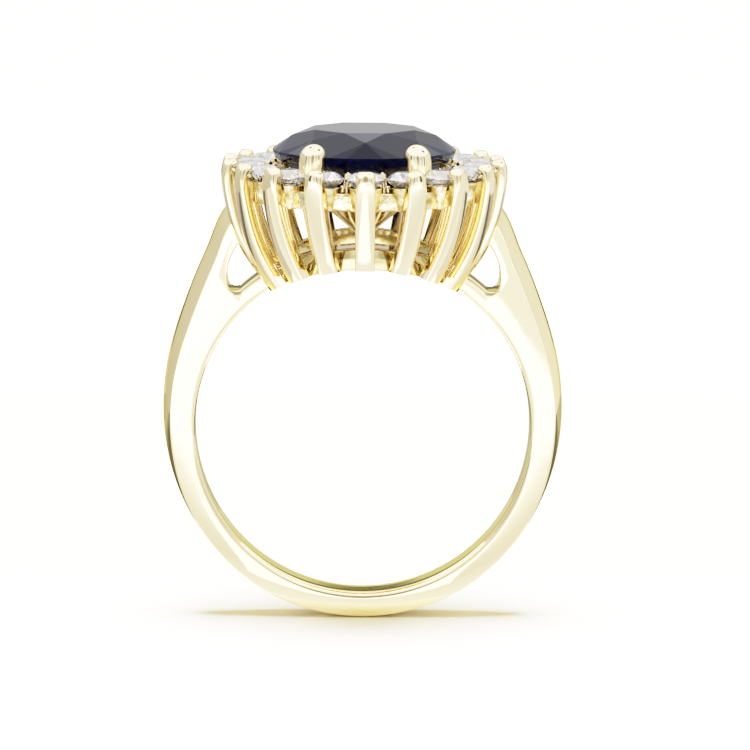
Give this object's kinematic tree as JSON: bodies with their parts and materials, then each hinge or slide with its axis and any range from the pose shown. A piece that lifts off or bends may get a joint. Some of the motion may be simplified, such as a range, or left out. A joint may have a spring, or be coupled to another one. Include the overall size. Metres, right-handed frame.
{
  "type": "engagement ring",
  "caption": "Oval sapphire in four claws with a halo of round diamonds on an open claw basket, set on a comfort-fit band with pierced shoulders.",
  "frame": {"origin": "centre of the finger hole, half-way along its length", "axes": "+Y along the finger, from the front of the ring to its back; +Z from the finger up through the centre stone; +X to the right when looking along +Y"},
  "size_m": [0.0198, 0.0162, 0.0242],
  "materials": {
    "yellow_gold": "high mirror polish on 18 karat yellow gold",
    "sapphire": "polished facets, very dark navy",
    "diamond": "polished facets, colourless"
  },
  "bodies": {
    "root": {"shank": "yellow_gold", "lower_gallery": "yellow_gold", "halo_rail": "yellow_gold", "centre_claw_front_left": "yellow_gold", "centre_claw_front_right": "yellow_gold", "centre_claw_back_left": "yellow_gold", "centre_claw_back_right": "yellow_gold", "outer_claw_01": "yellow_gold", "outer_claw_02": "yellow_gold", "outer_claw_03": "yellow_gold", "outer_claw_04": "yellow_gold", "outer_claw_05": "yellow_gold", "outer_claw_06": "yellow_gold", "outer_claw_07": "yellow_gold", "outer_claw_08": "yellow_gold", "outer_claw_09": "yellow_gold", "outer_claw_10": "yellow_gold", "outer_claw_11": "yellow_gold", "outer_claw_12": "yellow_gold", "outer_claw_13": "yellow_gold", "outer_claw_14": "yellow_gold", "outer_claw_15": "yellow_gold", "outer_claw_16": "yellow_gold", "outer_claw_17": "yellow_gold", "outer_claw_18": "yellow_gold", "halo_diamond_01": "diamond", "halo_diamond_02": "diamond", "halo_diamond_03": "diamond", "halo_diamond_04": "diamond", "halo_diamond_05": "diamond", "halo_diamond_06": "diamond", "halo_diamond_07": "diamond", "halo_diamond_08": "diamond", "halo_diamond_09": "diamond", "halo_diamond_10": "diamond", "halo_diamond_11": "diamond", "halo_diamond_12": "diamond", "halo_diamond_13": "diamond", "halo_diamond_14": "diamond", "halo_diamond_15": "diamond", "halo_diamond_16": "diamond", "halo_diamond_17": "diamond", "halo_diamond_18": "diamond", "centre_sapphire": "sapphire"}
  },
  "joints": []
}
